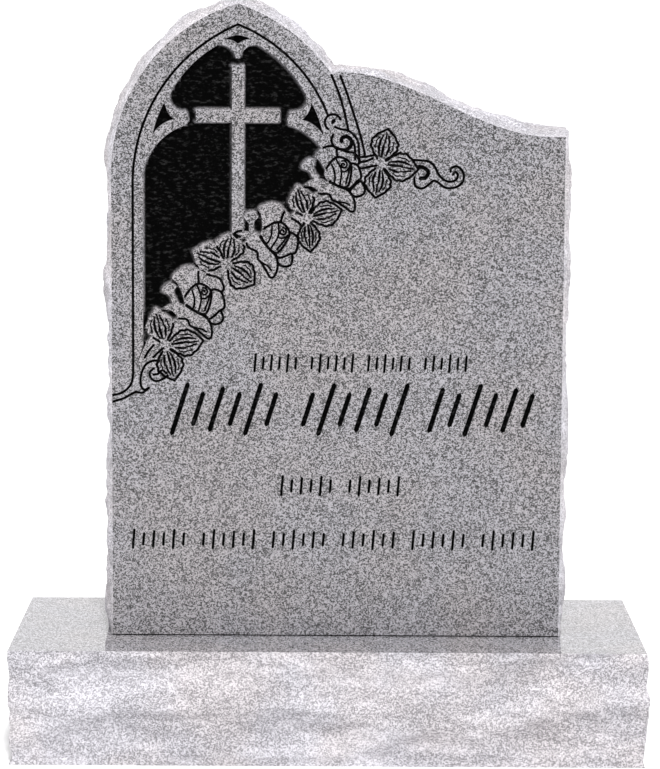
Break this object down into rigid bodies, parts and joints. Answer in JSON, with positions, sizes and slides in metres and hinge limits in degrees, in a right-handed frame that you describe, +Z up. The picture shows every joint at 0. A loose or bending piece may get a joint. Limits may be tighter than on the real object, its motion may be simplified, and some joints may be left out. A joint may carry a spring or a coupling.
{
  "type": "gothic upright headstone",
  "caption": "Upright granite headstone: a tablet with a pointed arch, carved traceried window, cross and rose garland, on a rock-faced base.",
  "frame": {"origin": "under the middle of the base, on the ground", "axes": "+Z up, the carved front faces -Y, +X to the right as seen from the front"},
  "size_m": [0.8852, 0.3776, 1.0383],
  "materials": {
    "granite_face": "steeled grey granite with salt-and-pepper grain, carving painted black, sides pitched rough and pale",
    "granite_rock": "pale grey granite, rock-faced sides and a smooth top"
  },
  "bodies": {
    "root": {"tablet": "granite_face", "base": "granite_rock"}
  },
  "joints": []
}
